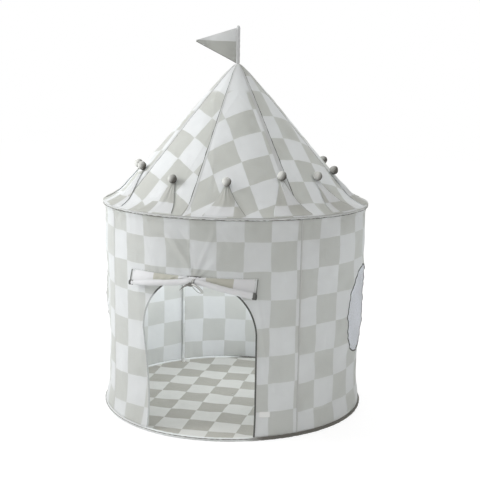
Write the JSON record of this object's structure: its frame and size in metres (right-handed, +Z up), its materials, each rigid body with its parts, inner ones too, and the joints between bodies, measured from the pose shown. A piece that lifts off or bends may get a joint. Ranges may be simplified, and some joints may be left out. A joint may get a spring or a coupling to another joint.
{
  "type": "kids play tent",
  "caption": "Round castle-shaped children's play tent in checked cloth with a cone roof, a crown of points with bobbles, an arched doorway with a rolled flap, oval net windows and a pennant.",
  "frame": {"origin": "middle of the floor sheet's underside, on the ground", "axes": "+Z up along the tent's axis to the peak, -Y out of the doorway, +X to the right of someone who faces the doorway from outside"},
  "size_m": [1.026, 1.0307, 1.453],
  "materials": {
    "wall_cloth": "matt plain-woven polyester with a printed check",
    "roof_cloth": "matt plain-woven polyester with a printed check",
    "floor_cloth": "matt coated polyester with a printed check",
    "hem_cloth": "matt folded polyester",
    "dark_tape": "matt woven binding tape",
    "net": "fine soft net",
    "bobble_cloth": "matt gathered cloth over filling",
    "flap_cloth": "matt plain-woven polyester",
    "ribbon_cloth": "soft woven ribbon",
    "label_cloth": "smooth woven blank label",
    "spring_steel": "flat spring steel strip",
    "pole_rod": "glass-fibre rod, lightly glossy",
    "moulding": "moulded nylon"
  },
  "bodies": {
    "tent": {"apex_hub": "moulding", "base_hem": "hem_cloth", "base_hoop": "spring_steel", "crown_bobble_1": "bobble_cloth", "crown_bobble_10": "bobble_cloth", "crown_bobble_11": "bobble_cloth", "crown_bobble_12": "bobble_cloth", "crown_bobble_2": "bobble_cloth", "crown_bobble_3": "bobble_cloth", "crown_bobble_4": "bobble_cloth", "crown_bobble_5": "bobble_cloth", "crown_bobble_6": "bobble_cloth", "crown_bobble_7": "bobble_cloth", "crown_bobble_8": "bobble_cloth", "crown_bobble_9": "bobble_cloth", "crown_points": "roof_cloth", "door_binding": "dark_tape", "eave_elbow_back_left": "moulding", "eave_elbow_back_right": "moulding", "eave_elbow_front_left": "moulding", "eave_elbow_front_right": "moulding", "eave_hem": "hem_cloth", "eave_hoop": "spring_steel", "floor_sheet": "floor_cloth", "label": "label_cloth", "pole_foot_back_left": "moulding", "pole_foot_back_right": "moulding", "pole_foot_front_left": "moulding", "pole_foot_front_right": "moulding", "roof_gore_1": "roof_cloth", "roof_gore_2": "roof_cloth", "roof_gore_3": "roof_cloth", "roof_gore_4": "roof_cloth", "roof_gore_5": "roof_cloth", "roof_gore_6": "roof_cloth", "roof_gore_7": "roof_cloth", "roof_gore_8": "roof_cloth", "roof_pole_back_left": "pole_rod", "roof_pole_back_right": "pole_rod", "roof_pole_front_left": "pole_rod", "roof_pole_front_right": "pole_rod", "wall_panel_back": "wall_cloth", "wall_panel_front": "wall_cloth", "wall_panel_left": "wall_cloth", "wall_panel_right": "wall_cloth", "wall_pole_back_left": "pole_rod", "wall_pole_back_right": "pole_rod", "wall_pole_front_left": "pole_rod", "wall_pole_front_right": "pole_rod", "window_binding_left": "dark_tape", "window_binding_right": "dark_tape", "window_mesh_left": "net", "window_mesh_right": "net"},
    "door_flap_roll": {"door_flap": "flap_cloth", "door_flap_binding_left": "dark_tape", "door_flap_binding_right": "dark_tape", "door_tie": "ribbon_cloth"},
    "flag_pole": {"flag_pole": "pole_rod", "flag_cap": "dark_tape"},
    "flag": {"flag_pennant": "roof_cloth"}
  },
  "joints": [
    {"name": "door_flap_swing", "type": "hinge", "parent": "tent", "child": "door_flap_roll", "pos_m": [0, -0.4846, 0.589], "axis": [-1, 0, 0], "range_deg": [0, 30]},
    {"name": "flag_pole_pull", "type": "slide", "parent": "tent", "child": "flag_pole", "axis": [0, 0, 1], "range_m": [0, 0.05]},
    {"name": "flag_swivel", "type": "hinge", "parent": "flag_pole", "child": "flag", "pos_m": [0, 0, 1.312], "axis": [0, 0, 1], "continuous": true}
  ]
}
